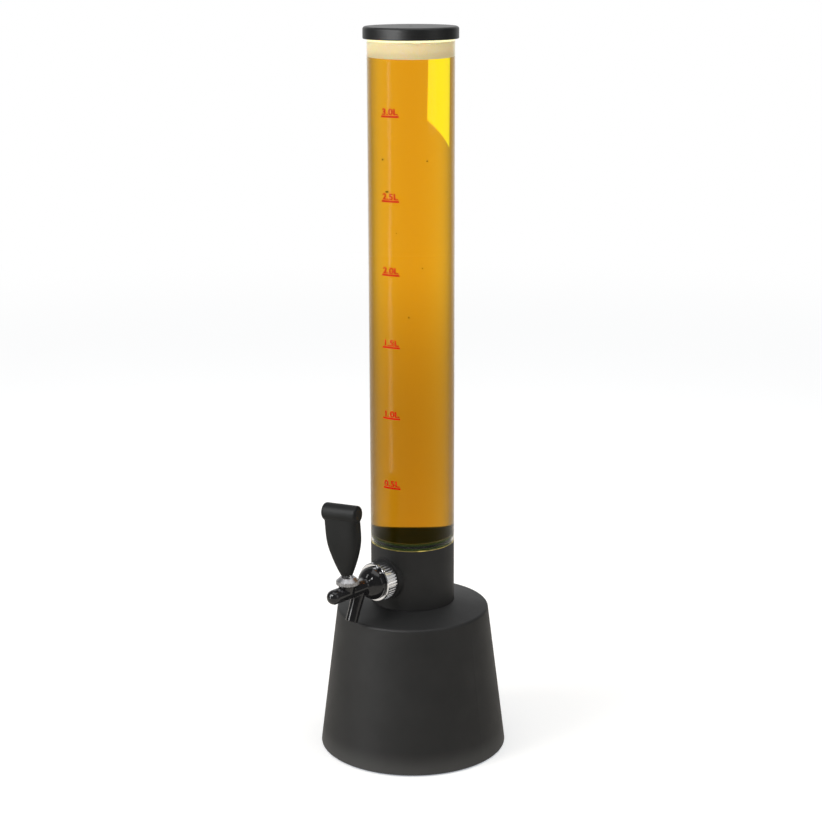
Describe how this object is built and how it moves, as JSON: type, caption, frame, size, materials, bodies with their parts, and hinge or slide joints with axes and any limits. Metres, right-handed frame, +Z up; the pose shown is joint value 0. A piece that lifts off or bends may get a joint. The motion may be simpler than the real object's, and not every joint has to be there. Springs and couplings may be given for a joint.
{
  "type": "beer tower dispenser",
  "caption": "Tabletop draught tower: clear measuring column on a weighted conical base, with a lever tap below the column and a lift-off lid.",
  "frame": {"origin": "centre of the base on the table, under the column's axis", "axes": "+Z up along the column, the tap points along -Y, +X to the right of a drinker who faces the tap"},
  "size_m": [0.2144, 0.2445, 0.8202],
  "materials": {
    "matte_black": "fine-grained matte moulding",
    "satin_black": "satin",
    "gloss_black": "polished",
    "clear_tube": "clear, polished",
    "rubber_black": "matte",
    "seal_grey": "matte",
    "nylon": "plain",
    "chrome": "polished, knurled",
    "steel": "turned",
    "brass": "turned",
    "iron": "cast, painted"
  },
  "bodies": {
    "tower": {"base_shell": "matte_black", "base_plate": "matte_black", "ballast_weight": "iron", "grip_ring": "rubber_black", "base_screws": "steel", "ballast_screws": "steel", "neck_screws": "steel", "neck_housing": "matte_black", "well_cup": "matte_black", "tube_seal": "seal_grey", "tube": "clear_tube", "shank": "steel", "shank_collar": "chrome", "shank_gasket": "rubber_black", "inner_washer": "rubber_black", "shank_locknut": "steel", "coupling_nut": "chrome", "coupling_washer": "rubber_black", "faucet_body": "gloss_black", "ball_seat": "nylon", "ball_bushing": "nylon", "bonnet": "chrome"},
    "lid": {"lid": "satin_black", "lid_seal": "seal_grey"},
    "tap_handle": {"lever": "steel", "handle": "satin_black", "handle_insert": "brass"},
    "tap_plunger": {"plunger": "steel", "seat_washer": "rubber_black", "plunger_seal": "rubber_black"}
  },
  "joints": [
    {"name": "lid_lift", "type": "slide", "parent": "tower", "child": "lid", "axis": [0, 0, 1], "range_m": [0, 0.08]},
    {"name": "handle_tilt", "type": "hinge", "parent": "tower", "child": "tap_handle", "pos_m": [0, -0.1075, 0.2206], "axis": [1, 0, 0], "range_deg": [0, 20]},
    {"name": "plunger_slide", "type": "slide", "parent": "tower", "child": "tap_plunger", "axis": [0, 1, 0], "range_m": [0, 0.0037]}
  ],
  "couplings": [
    {"joint": "plunger_slide", "follows": "handle_tilt", "m_per_rad": 0.010595}
  ]
}
